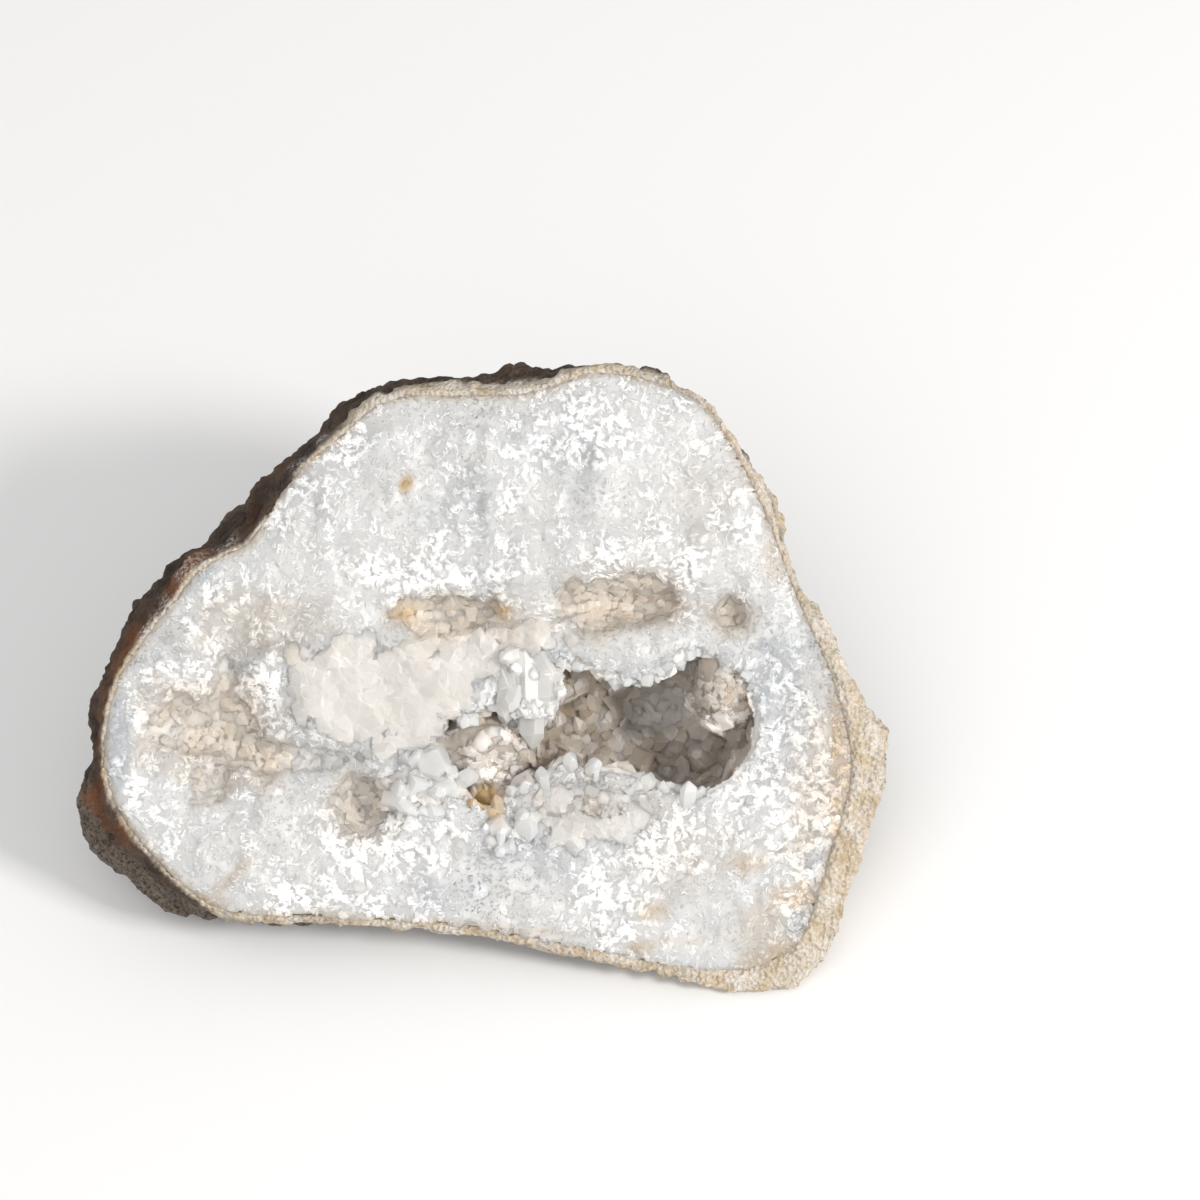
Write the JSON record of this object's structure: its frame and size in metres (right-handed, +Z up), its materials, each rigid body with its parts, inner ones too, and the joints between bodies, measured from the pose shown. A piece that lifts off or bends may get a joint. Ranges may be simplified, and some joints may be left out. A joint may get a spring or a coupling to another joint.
{
  "type": "quartz geode half",
  "caption": "Broken half of a white quartz geode: a rough brown rock bowl filled with milky quartz, open in front in a crystal-lined hollow, resting tipped up on a flat spot.",
  "frame": {"origin": "centre of the bounding box, on the ground plane that the stone rests on", "axes": "+Z up; +X to the right as one looks at the broken face; the face looks towards -Y and up, 36 degrees from level"},
  "size_m": [0.1768, 0.1214, 0.0823],
  "materials": {
    "rock": "rough brown and tan rock, matte",
    "milky_quartz": "broken milky quartz, granular, slightly glossy",
    "clear_quartz": "clear to milky quartz crystals, glossy faces"
  },
  "bodies": {
    "root": {"rock_rind": "rock", "quartz_wall": "milky_quartz", "crystal_crust": "clear_quartz"}
  },
  "joints": []
}
